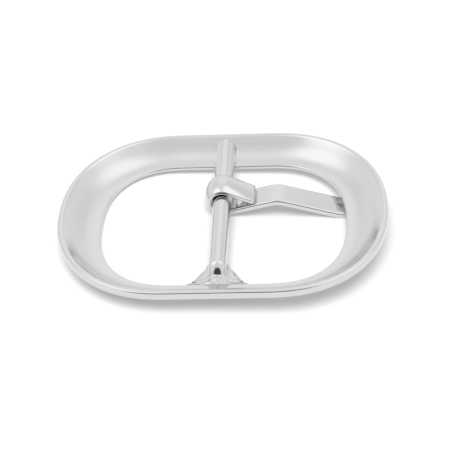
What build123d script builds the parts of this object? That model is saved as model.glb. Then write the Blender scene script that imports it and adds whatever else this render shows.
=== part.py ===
"""Dress belt buckle: a dished oval frame, a strap bar across its middle and a prong hinged on the bar.

Millimetres. The buckle lies on its front: +Z points to its back (towards the wearer), +X points
along the buckle to the end where the prong rests, and the bar lies along Y.
The origin is below the middle of the frame, level with the lowest face of the prong's tip.
"""
from build123d import *
from math import acos, atan2, copysign, cos, hypot, pi, radians, sin
import os

# Driving dimensions
strap_width = 30.0
strap_play = 1.0  # on each side of the strap
frame_length = 55.0
frame_width = 43.6
frame_height = 4.25  # lip to crest
rim_height = 1.35  # upright outer edge of the frame
lip_thickness = 1.05
crest_land = 0.8  # flat on the back of the frame, at its outer edge
end_band = 6.9  # plan width of the frame at its two ends
front_land = 0.08  # part of the plan width that is flat on the front, next to the lip
dish_power = 2.2  # how late the hollow back steepens: 1 would be a plain cone
dome_power = 1.7  # the same for the domed front
edge_round = 0.3
half_straight = 7.4  # half of the straight stretch of each long side, at the lip
straight_growth = 0.55  # more of it at the outer edge
lip_squareness = 2.42  # power of the superellipse at the lip: 2 is an ellipse
squareness_loss = 0.21  # less of it at the outer edge

bar_x = -0.3  # the bar is a little nearer the end away from the prong's tip
bar_height = 2.3  # bar axis above the front of the lip
bar_radius_far = 1.7
bar_radius_near = 1.42
bar_end = 21.0  # just inside the wall
foot_start = 11.0

prong_width = 5.0
prong_thickness = 0.95
prong_y = 6.0
prong_play = 0.22  # between the bar and the prong's eye, all round
prong_rise = 13.5  # degrees, from the bar to the bend
bend_x = 9.1
bend_radius = 4.0
tip_bend_x = 19.6
tip_x = 24.7
tip_gap = 0.5  # between the lip and the tip that lies across it
tip_round = 1.6  # corners of the tip
lap_x = 4.9  # where the end of the eye comes down on the prong
lap_thickness = 0.7
corner_reach = 1.0  # from there back to the corner of the hole
corner_gap = 0.02  # the corner's own height: the lap all but touches the strip
lap_edge = 0.6  # part of the lap's thickness that is left at the sides of the strip
head_crown = 0.5  # swell of the eye at the middle of its width
crown_power = 2.5  # how far the swell stays full towards the sides

# Worked out from them
opening_width = strap_width + 2 * strap_play
lip_z = prong_thickness + tip_gap
crest_z = lip_z + frame_height
rim_z = crest_z - rim_height
side_band = (frame_width - opening_width) / 2
hollow = 1 - crest_land / side_band  # fraction of the band that the hollow back takes
bar_z = lip_z + bar_height
bar_taper = (bar_radius_far - bar_radius_near) / frame_width  # growth of the radius along +Y


def oval(band):
    """Closed outline at a fraction of the band, 0 at the lip and 1 at the outer edge.

    Each side is straight for a short way and each end is a superellipse, a little squarer at the lip.
    """
    half_length = frame_length / 2 - (1 - band) * end_band
    half_width = frame_width / 2 - (1 - band) * side_band
    straight = half_straight + straight_growth * band
    power = 2 / (lip_squareness - squareness_loss * band)
    right = []
    steps = 20
    for step in range(steps + 1):
        angle = pi * (step / steps - 0.5)
        x = straight + (half_length - straight) * abs(cos(angle)) ** power
        y = copysign(half_width * abs(sin(angle)) ** power, angle)
        right.append((x, y))
    left = [(-x, -y) for x, y in right]
    return Spline(*right, (0, half_width), *left, (0, -half_width), periodic=True)


def back_height(band):
    """Height of the hollow back of the frame: level at the lip, steepest at the crest."""
    return lip_z + lip_thickness + (frame_height - lip_thickness) * (band / hollow) ** dish_power


def front_height(band):
    """Height of the domed front of the frame."""
    rise = (band - front_land) / (1 - front_land)
    return lip_z + (frame_height - rim_height) * rise**dome_power


# The space inside the dish: it hollows the frame and trims both ends of the bar.
hollow_bands = [hollow * step / 5 for step in range(6)]
with BuildPart() as dish_space:
    with BuildSketch(Plane.XY.offset(-1)):
        with BuildLine():
            oval(0)
        make_face()
    extrude(amount=1 + back_height(0))
    for band in hollow_bands:
        with BuildSketch(Plane.XY.offset(back_height(band))):
            with BuildLine():
                oval(band)
            make_face()
    loft()
    with BuildSketch(Plane.XY.offset(crest_z)):
        with BuildLine():
            oval(hollow_bands[-1])
        make_face()
    extrude(amount=1)

front_bands = [front_land + (1 - front_land) * step / 5 for step in range(6)]
with BuildPart() as frame_ring:
    with BuildSketch(Plane.XY.offset(rim_z)):
        with BuildLine():
            oval(1)
        make_face()
    extrude(amount=rim_height)
    for band in front_bands:
        with BuildSketch(Plane.XY.offset(front_height(band))):
            with BuildLine():
                oval(band)
            make_face()
    loft()
    add(dish_space.part, mode=Mode.SUBTRACT)
    outlines = frame_ring.edges().filter_by(lambda edge: edge.length > frame_length).group_by(Axis.Z)
    fillet(outlines[-1] + outlines[-2], edge_round)
frame_ring.part.label = "frame_ring"

# Strap bar: a tapered round bar. Its far end butts against the wall of the dish. Its near end drops
# to the lip and spreads into a flared foot. Each station of the foot is an ellipse across the bar:
# distance from the middle of the frame, half width, top and bottom above the front of the lip.
foot_stations = [
    (12.6, 2.1, 3.6, 0.6),
    (14.2, 3.1, 2.9, 0.4),
    (16.0, 4.2, 1.9, 0.25),
    (18.4, 4.9, 1.5, 0.2),
]


def bar_radius(y):
    """Radius of the tapered bar at this place along it."""
    return (bar_radius_far + bar_radius_near) / 2 + bar_taper * y


def across_bar(y, z):
    """Plane across the bar: its x is the part's X, and it faces the far end."""
    return Plane(origin=(bar_x, y, z), x_dir=(1, 0, 0), z_dir=(0, 1, 0))


with BuildPart() as strap_bar:
    for y in (-foot_start, bar_end):
        with BuildSketch(across_bar(y, bar_z)):
            Circle(bar_radius(y))
    loft()
    with BuildSketch(across_bar(-foot_start, bar_z)):
        Circle(bar_radius(-foot_start))
    for distance, half_width, top, bottom in foot_stations:
        with BuildSketch(across_bar(-distance, lip_z + (top + bottom) / 2)):
            Ellipse(half_width, (top - bottom) / 2)
    loft()
    add(dish_space.part, mode=Mode.INTERSECT)
strap_bar.part.label = "strap_bar"

# Prong: a flat strip that is rolled round the bar into a teardrop eye, runs under the bar, rises to
# a bend and falls to a level tip that lies across the front of the frame.
eye_radius = bar_radius(prong_y) + prong_play
rise = radians(prong_rise)
strip_drop = eye_radius + prong_thickness / 2
strip_start = (bar_x + strip_drop * sin(rise), bar_z - strip_drop * cos(rise))
bend = (bend_x, strip_start[1] + (bend_x - strip_start[0]) * sin(rise) / cos(rise))
tip_bend = (tip_bend_x, prong_thickness / 2)
tip_end = (tip_x, prong_thickness / 2)


def strip_top(x):
    """Height of the strip's upper face between the bar and the bend."""
    return strip_start[1] + (x - strip_start[0]) * sin(rise) / cos(rise) + prong_thickness / 2 / cos(rise)


def tangent_point(point, radius, side):
    """Where a line from the point touches the circle of this radius about the bar."""
    dx, dz = point[0] - bar_x, point[1] - bar_z
    turn = atan2(dz, dx) + side * acos(radius / hypot(dx, dz))
    return (bar_x + radius * cos(turn), bar_z + radius * sin(turn))


def teardrop(radius, upper, lower):
    """Outline of the eye in XZ: an arc round the bar closed by two tangents to its blunt end."""
    start = tangent_point(upper, radius, 1)
    end = tangent_point(lower, radius, -1)
    ThreePointArc(start, (bar_x - radius, bar_z), end)
    Polyline(end, lower, upper, start)


def across(y):
    """Plane across the prong: its x is the part's X and its y is the part's Z."""
    return Plane(origin=(0, y, 0), x_dir=(1, 0, 0), z_dir=(0, -1, 0))


prong_sides = (prong_y - prong_width / 2, prong_y + prong_width / 2)
lap_low = (lap_x, strip_top(lap_x) - prong_thickness / 2)
eye_corner_low = (lap_x - corner_reach, strip_top(lap_x - corner_reach))
eye_corner_high = (eye_corner_low[0], eye_corner_low[1] + corner_gap)
with BuildPart() as prong:
    with BuildSketch(across(prong_sides[1])):
        with BuildLine() as strip_line:
            FilletPolyline(strip_start, bend, tip_bend, tip_end, radius=bend_radius)
        trace(strip_line.line, line_width=prong_thickness)
    extrude(amount=prong_width)
    for step in range(5):
        place = step / 2 - 1  # from -1 to 1 across the width
        swell = head_crown * (1 - abs(place) ** crown_power)
        lap_share = lap_edge + (1 - lap_edge) * (1 - place**2)
        lap_high = (lap_x, strip_top(lap_x) + lap_thickness * lap_share)
        with BuildSketch(across(prong_y + place * prong_width / 2)):
            with BuildLine():
                teardrop(eye_radius + lap_thickness + swell, lap_high, lap_low)
            make_face()
    loft()
    with BuildSketch(across(prong_sides[1] + 1)):
        with BuildLine():
            teardrop(eye_radius, eye_corner_high, eye_corner_low)
        make_face()
    extrude(amount=prong_width + 2, mode=Mode.SUBTRACT)
    fillet(prong.faces().sort_by(Axis.X)[-1].edges().filter_by(Axis.Z), tip_round)
prong.part.label = "prong"

os.makedirs("parts", exist_ok=True)
export_step(frame_ring.part, "parts/frame_ring.step")
export_step(strap_bar.part, "parts/strap_bar.step")
export_step(prong.part, "parts/prong.step")
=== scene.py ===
"""Looks of the dress belt buckle: polished nickel plate on the dished frame, its strap bar and the prong.

Lengths are written in millimetres and turned to metres when a mesh is made. The frame lies on its
front, with its back up: +X runs to the prong's tip, and +Y along the strap bar away from its foot.
"""
from math import atan2, cos, hypot, pi, radians, sin, sqrt

import bpy
import numpy as np
from mathutils import Matrix, Vector


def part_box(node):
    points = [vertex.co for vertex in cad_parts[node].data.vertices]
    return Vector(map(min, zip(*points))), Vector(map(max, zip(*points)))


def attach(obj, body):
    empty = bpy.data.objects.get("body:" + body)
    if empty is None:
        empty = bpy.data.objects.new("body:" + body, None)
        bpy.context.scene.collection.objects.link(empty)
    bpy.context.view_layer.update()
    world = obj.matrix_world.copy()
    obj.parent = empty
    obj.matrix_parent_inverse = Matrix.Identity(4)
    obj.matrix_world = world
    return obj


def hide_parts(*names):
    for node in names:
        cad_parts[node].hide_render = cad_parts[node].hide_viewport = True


MM = 0.001

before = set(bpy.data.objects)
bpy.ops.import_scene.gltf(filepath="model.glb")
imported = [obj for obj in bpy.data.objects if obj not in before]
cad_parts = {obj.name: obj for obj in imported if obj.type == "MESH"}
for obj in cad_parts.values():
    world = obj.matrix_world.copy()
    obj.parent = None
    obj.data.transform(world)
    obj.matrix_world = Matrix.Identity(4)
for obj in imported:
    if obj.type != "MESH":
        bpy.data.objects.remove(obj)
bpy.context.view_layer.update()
ring_low, ring_high = [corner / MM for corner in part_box("frame_ring")]
prong_low, prong_high = [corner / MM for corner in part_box("prong")]

# Frame: an oval ring with a thin inner lip, a hollow back, a narrow crest and an upright rim
frame_length = ring_high.x - ring_low.x
frame_width = 43.6
frame_height = ring_high.z - ring_low.z
lip_z = ring_low.z
opening_width = 32.0
end_band = 6.9
side_band = (frame_width - opening_width) / 2
half_straight = 7.4
straight_growth = 0.55  # the outline's straight part grows by this from the lip to the outer edge
lip_squareness = 2.42
squareness_loss = 0.21  # and its corners get rounder
lip_thickness = 1.05
lip_lift = 0.45  # the lip's front edge clears the floor by this much
lip_front_edge = 0.12
lip_back_edge = 0.3
crest_land = 0.8
crest_fall = 0.08  # the crest falls this much towards the hollow
crest_roll = 0.85
crest_edge = 0.38
rim_height = 1.35
rim_edge = 0.5
hollow = 1 - crest_land / side_band  # share of the band that the hollow back takes
hollow_start = 0.2  # share of the hollow where its curve leaves the lip's rounding
hollow_run = 0.62
dish_power = 2.2
front_land = 0.2  # the front touches the floor at this share of the band
front_run = 0.9
front_turn = 0.17
front_roll = 2.0
dome_power = 1.7
satin_margin = 0.3  # the lip and the crest stay bright beside the satin hollow
least_metal = 0.5  # points this far above the front belong to the back
quarter_stations = 60  # sections along a quarter of the oval

# Strap bar: round, a little thicker away from its foot
bar_x = -0.3
bar_z = lip_z + 2.3
bar_radius_middle = 1.56
bar_taper = 0.28 / frame_width
bar_end = 20.9
bar_bury = 0.06  # the bar's skin runs on this far inside the frame's metal
far_fillet = 0.25
far_lift = 0.5
far_lift_start = 12.0
far_lift_power = 1.5

# Foot of the bar: its end dips as a nose, in two steps, between the two sides of a thin fan
foot_start = 12.0
near_fillet = 0.8
nose_steps = ((13.5, 1.6, 0.76), (16.3, 0.5, 0.24))  # start, length and share of the drop
nose_power = 1.6  # each step steepens to its end
nose_drop = 1.8
nose_thinning = 0.5
fan_start = 11.2
fan_start_width = 1.55
fan_spread = 0.66
fan_lean = 0.85  # turns a distance along X into one square to the fan's slanted side
fan_height = 0.62
fan_thickness = 0.7
fan_edge = 0.28
foot_blend = 1.3
lip_margin = 0.25  # the foot lies on the frame's band from this far beyond the lip
floor_gap = 0.1  # and elsewhere stays this far above the floor

# The bar's skin: rings of points, close together where the bar meets the frame
bar_rings = ((bar_end, 15.4, 46), (15.0, -10.0, 16), (-10.2, -18.8, 88))  # from, to, count
bar_rays = 144
ray_steps = 32
shortest_ray = 0.01
longest_ray = 6.0
foot_centre = 1.25  # in the foot, the rays leave from this height above the lip
foot_centre_start = 15.5
foot_centre_rise = 0.25
foot_centre_power = 1.3

# Prong: a strip rolled round the bar, with a thicker, domed head, a bend and a level tip
prong_y = (prong_low.y + prong_high.y) / 2
prong_width = prong_high.y - prong_low.y
prong_thickness = 0.95
eye_play = 0.15
eye_radius = bar_radius_middle + bar_taper * prong_y + eye_play
prong_rise = radians(13.5)
bend_x = 9.1
bend_radius = 4.0
tip_bend_x = 19.6
tip_x = prong_high.x
tip_corner = 1.6
lap_x = 4.9
lap_gap = 0.04
lap_length = 4.5
head_length = 13.2  # from the lap's end, along the strip
head_fade = 3.2
head_crown = 0.30
head_edge_loss = 0.30
lap_end_loss = 0.10
lap_edge_gain = 0.08
lap_narrowing = 0.12
crown_power = 2.3
crown_reach = 0.86  # share of the half width that the crown's points cover
crown_points = 15
flat_reach = 0.8
flat_points = 7
bevel_steps = 4
bend_steps = 14
lower_bevel = 0.13
lower_bevel_gain = 0.10
upper_bevel = 0.34
upper_bevel_loss = 0.11
lap_points = 16
eye_points = 56
strip_spacing = 0.45


# ---------------------------------------------------------------- meshes
def mesh_piece(name, vertices, faces, material, body, cad_node):
    """A smooth-shaded piece from points in millimetres; it rides on a body and stands for a CAD node."""
    mesh = bpy.data.meshes.new(name)
    mesh.from_pydata([tuple(float(c) * MM for c in v) for v in vertices], [], faces)
    mesh.validate()
    mesh.shade_smooth()
    piece = bpy.data.objects.new(name, mesh)
    bpy.context.scene.collection.objects.link(piece)
    mesh.materials.append(material)
    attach(piece, body)
    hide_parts(cad_node)
    return piece


def grid_faces(rows, columns, closed_rows=False):
    """Quads between rings of points stored ring by ring; the last ring can join the first."""
    faces = []
    for row in range(rows if closed_rows else rows - 1):
        below = (row + 1) % rows
        for column in range(columns):
            right = (column + 1) % columns
            faces.append((row * columns + column, row * columns + right,
                          below * columns + right, below * columns + column))
    return faces


def rounded(path, steps):
    """A path in a plane whose corners are rounded: items are (x, y) or (x, y, radius)."""
    points = []
    for index, item in enumerate(path):
        here = np.array(item[:2], float)
        radius = item[2] if len(item) > 2 else 0
        if not radius:
            points.append(here)
            continue
        before = np.array(path[index - 1][:2], float) - here
        after = np.array(path[(index + 1) % len(path)][:2], float) - here
        before /= np.linalg.norm(before)
        after /= np.linalg.norm(after)
        half = np.arccos(np.clip(before @ after, -1, 1)) / 2
        reach = radius / np.tan(half)
        middle = here + (before + after) / np.linalg.norm(before + after) * radius / sin(half)
        start = here + before * reach - middle
        end = here + after * reach - middle
        sweep = pi - 2 * half
        for step in range(steps + 1):
            t = step / steps
            arm = (start * sin((1 - t) * sweep) + end * sin(t * sweep)) / sin(sweep)
            points.append(middle + arm)
    return np.array(points)


def eased(t):
    """Smooth step of a share from 0 to 1."""
    return t * t * (3 - 2 * t)


# ---------------------------------------------------------------- frame ring
def back_height(band):
    """Height of the hollow back above the lip's front, at a share of the band."""
    return lip_thickness + (frame_height - lip_thickness) * (band / hollow) ** dish_power


def front_height(band):
    """Height of the domed front, at a share of the band."""
    return (frame_height - rim_height) * (max(band - front_land, 0) / (1 - front_land)) ** dome_power


def ring_section(detail):
    """Section of the frame: distance outward from the lip and height, in millimetres."""
    steps = 3 * detail
    path = [(0, lip_lift, lip_front_edge), (0, lip_thickness, lip_back_edge)]
    for step in range(1, steps):
        band = hollow * (hollow_start + hollow_run * step / steps)
        path.append((band * side_band, back_height(band)))
    path.append((hollow * side_band, frame_height - crest_fall, crest_roll))
    path.append((side_band, frame_height, crest_edge))
    path.append((side_band, frame_height - rim_height, rim_edge))
    for step in range(steps, 1, -1):
        band = front_land + (1 - front_land) * front_run * step / steps
        path.append((band * side_band, front_height(band)))
    path.append((front_turn * side_band, 0, front_roll))
    return rounded(path, detail)


def oval(band, angle):
    """Point of the frame's outline at a share of the band, 0 at the lip and 1 at the outer edge."""
    half_length = frame_length / 2 - (1 - band) * end_band
    half_width = frame_width / 2 - (1 - band) * side_band
    straight = half_straight + straight_growth * band
    power = 2 / (lip_squareness - squareness_loss * band)
    x = straight + (half_length - straight) * abs(cos(angle)) ** power
    y = half_width * abs(sin(angle)) ** power
    return x, y


section = ring_section(7)
plain_section = ring_section(2)  # enough for the bar's joint with the frame


def is_satin(outward, height):
    """True on the hollow back, short of the lip's and the crest's roundings."""
    on_hollow = satin_margin < outward < hollow * side_band - satin_margin
    return on_hollow and height > front_height(outward / side_band) + least_metal


def build_ring(material):
    """The frame's section swept round the oval; a point attribute marks its satin hollow."""
    quarter = [pi / 2 * step / quarter_stations for step in range(quarter_stations + 1)]
    turns = [(angle, 1, 1) for angle in quarter]
    turns += [(angle, -1, 1) for angle in reversed(quarter)]
    turns += [(angle, -1, -1) for angle in quarter[1:]]
    turns += [(angle, 1, -1) for angle in reversed(quarter[1:])]
    vertices = []
    for angle, side_x, side_y in turns:
        for outward, height in section:
            x, y = oval(outward / side_band, angle)
            vertices.append((side_x * x, side_y * y, lip_z + height))
    faces = grid_faces(len(turns), len(section), closed_rows=True)
    ring = mesh_piece("frame_polished", vertices, faces, material, "frame", "frame_ring")
    satin = ring.data.attributes.new("satin", "FLOAT", "POINT")
    satin.data.foreach_set("value", [float(is_satin(*point)) for point in section] * len(turns))


# ---------------------------------------------------------------- strap bar
def wall_distance(y, z):
    """Signed distance from the frame's section on the long sides, negative inside the metal."""
    out = np.abs(y) - opening_width / 2
    up = z - lip_z
    point = np.stack([out, up], -1)[..., None, :]
    a = plain_section
    b = np.roll(plain_section, -1, 0)
    edge = b - a
    t = np.clip(((point - a) * edge).sum(-1) / (edge**2).sum(-1), 0, 1)
    gap = point - (a + t[..., None] * edge)
    distance = np.sqrt((gap**2).sum(-1)).min(-1)
    crosses = (a[:, 1] > point[..., 1]) != (b[:, 1] > point[..., 1])
    level_edge = edge[:, 1] == 0
    rise = np.where(level_edge, 1, edge[:, 1])
    left = point[..., 0] < (point[..., 1] - a[:, 1]) * edge[:, 0] / rise + a[:, 0]
    inside = (crosses & left).sum(-1) % 2 == 1
    return np.where(inside, -distance, distance)


def blend_union(a, b, reach):
    """Smooth union of two signed distances: a fillet about as wide as reach."""
    h = np.clip(0.5 + 0.5 * (b - a) / reach, 0, 1)
    return b + (a - b) * h - reach * h * (1 - h)


def nose_share(y):
    """0 along the level bar, rising to 1 where its end has dipped as the nose of the foot."""
    total = 0
    for start, length, share in nose_steps:
        t = np.clip((-y - start) / length, 0, 1)
        total = total + share * t**nose_power
    return total


def bar_axis(y):
    """Height of the bar's axis: level, up a little at the far end and down to the lip at the foot."""
    lift = np.clip((y - far_lift_start) / (bar_end - far_lift_start), 0, 1)
    return bar_z + far_lift * lift**far_lift_power - nose_drop * nose_share(y)


def foot_distance(x, y, z):
    """Signed distance from the bar and its fan-shaped foot, before they join the frame."""
    radius = bar_radius_middle + bar_taper * np.maximum(y, -foot_start) - nose_thinning * nose_share(y)
    round_bar = np.hypot(x, z - bar_axis(y)) - radius
    across = (np.abs(x) - (fan_start_width + fan_spread * (-y - fan_start))) * fan_lean + fan_edge
    ahead = y + fan_start + fan_edge
    level = np.abs(z - (lip_z + fan_height)) - fan_thickness / 2 + fan_edge
    side = np.maximum(across, ahead)
    fan = np.hypot(np.maximum(side, 0), np.maximum(level, 0)) + np.minimum(np.maximum(side, level), 0)
    return blend_union(round_bar, fan - fan_edge, foot_blend)


def bar_distance(x, y, z):
    """Signed distance from the bar as it shows: joined to the frame by fillets at both ends."""
    foot = foot_distance(x, y, z)
    wall = wall_distance(y, z)
    reach = np.where(y > 0, far_fillet, near_fillet)
    joined = np.maximum(blend_union(foot, wall, reach), np.maximum(-wall - bar_bury, foot - reach))
    # the skin stays above the floor, and just under the hollow where it lies on the frame's band
    band = np.clip((np.abs(y) - opening_width / 2) / side_band, 0, hollow)
    on_band = y < -opening_width / 2 - lip_margin
    lowest = np.where(on_band, back_height(band) - 2 * bar_bury, floor_gap)
    return np.maximum(joined, lip_z + lowest - z)


def build_bar(material):
    """The bar's skin, found along rays that leave its axis square to it, one ring of rays per station."""
    stations = np.concatenate([np.linspace(*rings) for rings in bar_rings])
    angle = np.linspace(0, 2 * pi, bar_rays, endpoint=False)
    beyond = np.maximum(-stations - foot_centre_start, 0)
    low_centre = lip_z + foot_centre + foot_centre_rise * beyond**foot_centre_power
    axis = bar_axis(stations)
    centre = np.where(stations < -foot_start, np.minimum(axis, low_centre), axis)[:, None]
    y = np.repeat(stations[:, None], bar_rays, 1)
    radius = np.full(y.shape, 2 * shortest_ray)
    for _ in range(ray_steps):
        value = bar_distance(radius * np.cos(angle), y, centre + radius * np.sin(angle))
        radius = np.clip(radius - value, shortest_ray, longest_ray)
    x, z = bar_x + radius * np.cos(angle), centre + radius * np.sin(angle)
    vertices = np.stack([x, y, z], -1).reshape(-1, 3)
    faces = grid_faces(len(stations), bar_rays)
    faces.append(tuple(range(bar_rays)))
    faces.append(tuple(reversed(range((len(stations) - 1) * bar_rays, len(stations) * bar_rays))))
    mesh_piece("bar_polished", vertices, faces, material, "frame", "strap_bar")


# ---------------------------------------------------------------- prong
def prong_path():
    """The strip's inner face in XZ: from the end of the lap round the bar, and along the top to the tip."""
    half = prong_thickness / 2
    drop = eye_radius + half
    rise = np.tan(prong_rise)
    start = (bar_x + drop * sin(prong_rise), bar_z - drop * cos(prong_rise))
    bend_z = start[1] + (bend_x - start[0]) * rise
    fall = atan2(bend_z - half, tip_bend_x - bend_x)
    # the lap's end lies on the strip, and the lap runs from there to touch the eye's circle
    lap = (lap_x, start[1] + (lap_x - start[0]) * rise + half / cos(prong_rise) + lap_gap)
    dx, dz = lap[0] - bar_x, lap[1] - bar_z
    touch = atan2(dz, dx) + np.arccos(eye_radius / hypot(dx, dz))
    leave = 1.5 * pi + prong_rise
    top = (bar_x + eye_radius * cos(touch), bar_z + eye_radius * sin(touch))
    points = []
    for t in np.linspace(0, 1, lap_points)[:-1]:
        points.append((lap[0] + (top[0] - lap[0]) * t, lap[1] + (top[1] - lap[1]) * t))
    for turn in np.linspace(touch, leave, eye_points):
        points.append((bar_x + eye_radius * cos(turn), bar_z + eye_radius * sin(turn)))
    # the strip's upper face: the corners of its middle line, moved up by half the thickness
    bend_top = (bend_x, bend_z + half / cos((prong_rise + fall) / 2), bend_radius + half)
    tip_top = (tip_bend_x + half * np.tan(fall / 2), prong_thickness, bend_radius - half)
    strip = rounded([points[-1], bend_top, tip_top, (tip_x, prong_thickness)], bend_steps)
    for a, b in zip(strip[:-1], strip[1:]):
        pieces = max(1, int(np.linalg.norm(b - a) / strip_spacing))
        points += [tuple(a + (b - a) * k / pieces) for k in range(1, pieces + 1)]
    return np.array(points)


def prong_profile(travel, to_tip):
    """Outline square to the strip: (across, depth from its inner face), at a distance along it."""
    head = eased(np.clip((head_length - travel) / head_fade, 0, 1))
    lap = np.clip(travel / lap_length, 0, 1)
    middle = prong_thickness + head * (head_crown * lap - lap_end_loss * (1 - lap))
    edge = prong_thickness - head * (head_edge_loss - lap_edge_gain * (1 - lap))
    lower = lower_bevel + lower_bevel_gain * head
    upper = upper_bevel - upper_bevel_loss * head
    width = prong_width / 2 - lap_narrowing * head * (1 - lap)
    if to_tip < tip_corner:
        width -= tip_corner - sqrt(max(tip_corner**2 - (tip_corner - to_tip) ** 2, 0))
    profile = [(-width, 0, upper), (-width, edge, lower)]
    for v in np.linspace(-crown_reach, crown_reach, crown_points):
        profile.append((v * width, edge + (middle - edge) * (1 - abs(v) ** crown_power)))
    profile += [(width, edge, lower), (width, 0, upper)]
    for v in np.linspace(flat_reach, -flat_reach, flat_points):
        profile.append((v * width, 0))
    return rounded(profile, bevel_steps)


def build_prong(material):
    """The strip's outline carried along its path, closed at both ends."""
    path = prong_path()
    ahead = np.gradient(path, axis=0)
    ahead /= np.linalg.norm(ahead, axis=1)[:, None]
    away = np.stack([ahead[:, 1], -ahead[:, 0]], 1)  # out of the eye, and down from the strip
    travel = np.concatenate([[0], np.cumsum(np.linalg.norm(np.diff(path, axis=0), axis=1))])
    rows = []
    for point, normal, so_far in zip(path, away, travel):
        for across, depth in prong_profile(so_far, travel[-1] - so_far):
            x, z = point + normal * depth
            rows.append((x, prong_y + across, z))
    columns = len(rows) // len(path)
    faces = grid_faces(len(path), columns)
    faces.append(tuple(reversed(range(columns))))
    faces.append(tuple(range((len(path) - 1) * columns, len(path) * columns)))
    mesh_piece("prong_polished", rows, faces, material, "prong", "prong")


# ---------------------------------------------------------------- materials
def linear(code):
    """Linear colour from an sRGB hex code."""
    values = [int(code[i:i + 2], 16) / 255 for i in (1, 3, 5)]
    return [v / 12.92 if v <= 0.04045 else ((v + 0.055) / 1.055) ** 2.4 for v in values] + [1.0]


def add(tree, kind, links=None, **settings):
    """Adds a node: settings are its properties, and links gives its inputs, by name or number."""
    made = tree.nodes.new(kind)
    for name, value in settings.items():
        setattr(made, name, value)
    for name, value in (links or {}).items():
        socket = made.inputs[name]
        if isinstance(value, bpy.types.NodeSocket):
            tree.links.new(value, socket)
        else:
            socket.default_value = value
    return made


def noise_scale(size):
    """Noise scale whose spots are this many millimetres wide."""
    return 1 / (size * MM)


def empty_tree(owner):
    """The node tree of a material or world, cleared."""
    owner.use_nodes = True
    owner.node_tree.nodes.clear()
    return owner.node_tree


haze_spot = 2.2  # buffing haze is finer than this, and is drawn this coarse so that it shows
sheet_wave = 6.25  # long, shallow unevenness that buffing leaves in a polished face
satin_roughness = 0.24


def nickel_plate(name, roughness):
    """Nickel electroplated on metal and buffed.

    It gives the eye a pale grey mirror with a faint haze that varies from spot to spot. Where the
    satin attribute is 1, the plate is only brushed lightly, and its reflections are soft.
    """
    material = bpy.data.materials.new(name)
    tree = empty_tree(material)
    place = add(tree, "ShaderNodeTexCoord").outputs["Object"]
    haze = add(tree, "ShaderNodeTexNoise", {
        "Vector": place, "Scale": noise_scale(haze_spot), "Detail": 4.0, "Roughness": 0.6})
    buffed = add(tree, "ShaderNodeMapRange", {
        "Value": haze.outputs["Fac"], "To Min": roughness * 0.7, "To Max": roughness * 1.4})
    satin = add(tree, "ShaderNodeAttribute", attribute_name="satin")
    rough = add(tree, "ShaderNodeMix", {
        0: satin.outputs["Fac"], 2: buffed.outputs["Result"], 3: satin_roughness})
    wave = add(tree, "ShaderNodeTexNoise", {
        "Vector": place, "Scale": noise_scale(sheet_wave), "Detail": 1.0})
    uneven = add(tree, "ShaderNodeBump", {
        "Height": wave.outputs["Fac"], "Strength": 0.05, "Distance": 0.6 * MM})
    shader = add(tree, "ShaderNodeBsdfPrincipled", {
        "Base Color": linear("#d4d4d4"), "Metallic": 1.0, "Roughness": rough.outputs[0],
        "Normal": uneven.outputs["Normal"]})
    add(tree, "ShaderNodeOutputMaterial", {"Surface": shader.outputs["BSDF"]})
    return material


# the frame and its bar are cast and buffed; the rolled steel strip takes a slightly sharper polish
plate = nickel_plate("polished_nickel_plate", 0.08)
strip = nickel_plate("polished_nickel_strip", 0.06)
build_ring(plate)
build_bar(plate)
build_prong(strip)

# ---------------------------------------------------------------- floor
# the buckle lies on its front's left end and on the prong's tip, so the floor slopes down to +X
tip_flat = 0.5
floor_reach = 1.5  # metres
card_grain = 1.1  # paper fibre is finer, and is drawn this coarse so that it can show in a shadow
left_land = ring_low.x + end_band * (1 - front_land)
tip_land = tip_bend_x + tip_flat
slope = lip_z / (tip_land - left_land)
floor_material = bpy.data.materials.new("white_card")
card = empty_tree(floor_material)
grain = add(card, "ShaderNodeTexNoise", {"Scale": noise_scale(card_grain), "Detail": 3.0})
white = add(card, "ShaderNodeMix", {
    0: grain.outputs["Fac"], 6: linear("#757575"), 7: linear("#7b7b7b")}, data_type="RGBA")
paper = add(card, "ShaderNodeBsdfPrincipled", {
    "Base Color": white.outputs[2], "Roughness": 0.9, "Specular IOR Level": 0.1,
    "Emission Color": linear("#ffffff"), "Emission Strength": 0.4})
add(card, "ShaderNodeOutputMaterial", {"Surface": paper.outputs["BSDF"]})
floor_mesh = bpy.data.meshes.new("floor")
corners = [(x, y, MM * lip_z - slope * (x - left_land * MM)) for x, y in (
    (-floor_reach, -floor_reach), (floor_reach, -floor_reach),
    (floor_reach, floor_reach), (-floor_reach, floor_reach))]
floor_mesh.from_pydata(corners, [], [(0, 1, 2, 3)])
floor_mesh.materials.append(floor_material)
floor = bpy.data.objects.new("floor", floor_mesh)
bpy.context.scene.collection.objects.link(floor)

# ---------------------------------------------------------------- camera
view_azimuth = radians(-5.115)
view_elevation = radians(37.78)
view_roll = radians(-4.358)
view_distance = 234.66
aim = Vector((0.442, -2.291, 3.65))
forward = Vector((cos(view_elevation) * sin(view_azimuth), cos(view_elevation) * cos(view_azimuth),
                  -sin(view_elevation)))
level_right = forward.cross(Vector((0, 0, 1))).normalized()
level_up = level_right.cross(forward)
right = level_right * cos(view_roll) + level_up * sin(view_roll)
up = level_up * cos(view_roll) - level_right * sin(view_roll)
camera_data = bpy.data.cameras.new("camera")
camera_data.lens = 112.94
camera_data.sensor_width = 36.0
camera_data.clip_start = 0.01
camera = bpy.data.objects.new("camera", camera_data)
turned = Matrix((right, up, -forward)).transposed().to_4x4()
camera.matrix_world = Matrix.Translation((aim - forward * view_distance) * MM) @ turned
bpy.context.scene.collection.objects.link(camera)
bpy.context.scene.camera = camera

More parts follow.
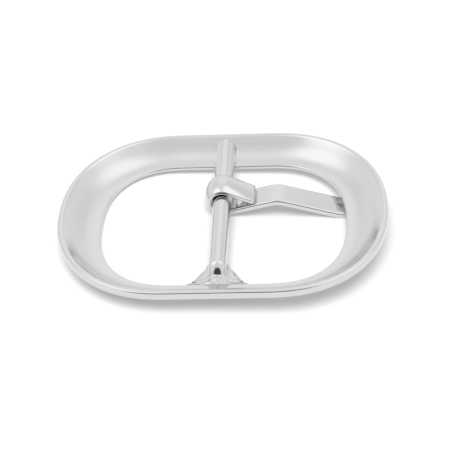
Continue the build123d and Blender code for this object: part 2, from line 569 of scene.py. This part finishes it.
# ---------------------------------------------------------------- light
world = bpy.data.worlds.new("light_tent")
bpy.context.scene.world = world
tent = empty_tree(world)
direction = add(tent, "ShaderNodeTexCoord").outputs["Generated"]

# round patches of the tent: heading (0 is +Y, 90 is +X) and height of the middle, the angles from
# it where the patch starts and stops fading, all in degrees, and the tone next to a plain wall of 1
tent_patches = (
    (-100, 57, 12, 32, (1.46, 1.45, 1.43)),
    (76, 60, 10, 30, (1.36, 1.37, 1.38)),
    (-38, 36, 3, 16, (0.91, 0.91, 0.91)),
    (38, 32, 3, 18, (0.90, 0.90, 0.90)),
    (0, 34, 5, 22, (1.10, 1.10, 1.10)),
    (180, 48, 8, 30, (0.90, 0.90, 0.90)))
open_front_tone = (0.08, 0.08, 0.08, 1.0)


def ramp(value, start, end):
    """0 up to start, then smoothly to 1 at end; start may be larger than end."""
    return add(tent, "ShaderNodeMapRange", {"Value": value, "From Min": start, "From Max": end},
               interpolation_type="SMOOTHSTEP").outputs["Result"]


def patch(heading, height, inner, outer):
    """1 inside a round patch of the tent, falling to 0 outside; angles in degrees from its middle."""
    heading, height = radians(heading), radians(height)
    toward = (cos(height) * sin(heading), cos(height) * cos(heading), sin(height))
    along = add(tent, "ShaderNodeVectorMath", {0: direction, 1: toward}, operation="DOT_PRODUCT")
    return ramp(along.outputs["Value"], cos(radians(outer)), cos(radians(inner)))


def times(a, b):
    """Product of two values."""
    return add(tent, "ShaderNodeMath", {0: a, 1: b}, operation="MULTIPLY").outputs["Value"]


def over(share, below, above):
    """One tone laid over another."""
    return add(tent, "ShaderNodeMix", {0: share, 6: below, 7: above}, data_type="RGBA").outputs[2]


wall = linear("#ffffff")
for *place, tone in tent_patches:
    wall = over(patch(*place), wall, (*tone, 1.0))

# the tent's open front is dark, from just above the floor to a little under half way up
split = add(tent, "ShaderNodeSeparateXYZ", {"Vector": direction}).outputs
open_height = times(ramp(split["Z"], 0.66, 0.58), ramp(split["Z"], 0.05, 0.15))
open_front = times(ramp(split["Y"], -0.71, -0.81), open_height)
wall = over(open_front, wall, open_front_tone)
glow = add(tent, "ShaderNodeBackground", {"Color": wall, "Strength": 1.0})
add(tent, "ShaderNodeOutputWorld", {"Surface": glow.outputs["Background"]})

# a broad, distant lamp high at the tent's front lifts the floor to white and keeps shadows short
toward_lamp = Vector((0.0, -0.26, 0.55))
lamp_data = bpy.data.lights.new("softbox", "SUN")
lamp_data.angle = radians(36)
lamp_data.energy = 9.4
lamp = bpy.data.objects.new("softbox", lamp_data)
lamp.rotation_euler = (-toward_lamp).to_track_quat("-Z", "Y").to_euler()
lamp.visible_glossy = False
bpy.context.scene.collection.objects.link(lamp)

view = bpy.context.scene.view_settings
view.view_transform = "Standard"
view.look = "None"
view.exposure = 0.0
bpy.context.scene.cycles.caustics_reflective = False
bpy.context.scene.cycles.caustics_refractive = False
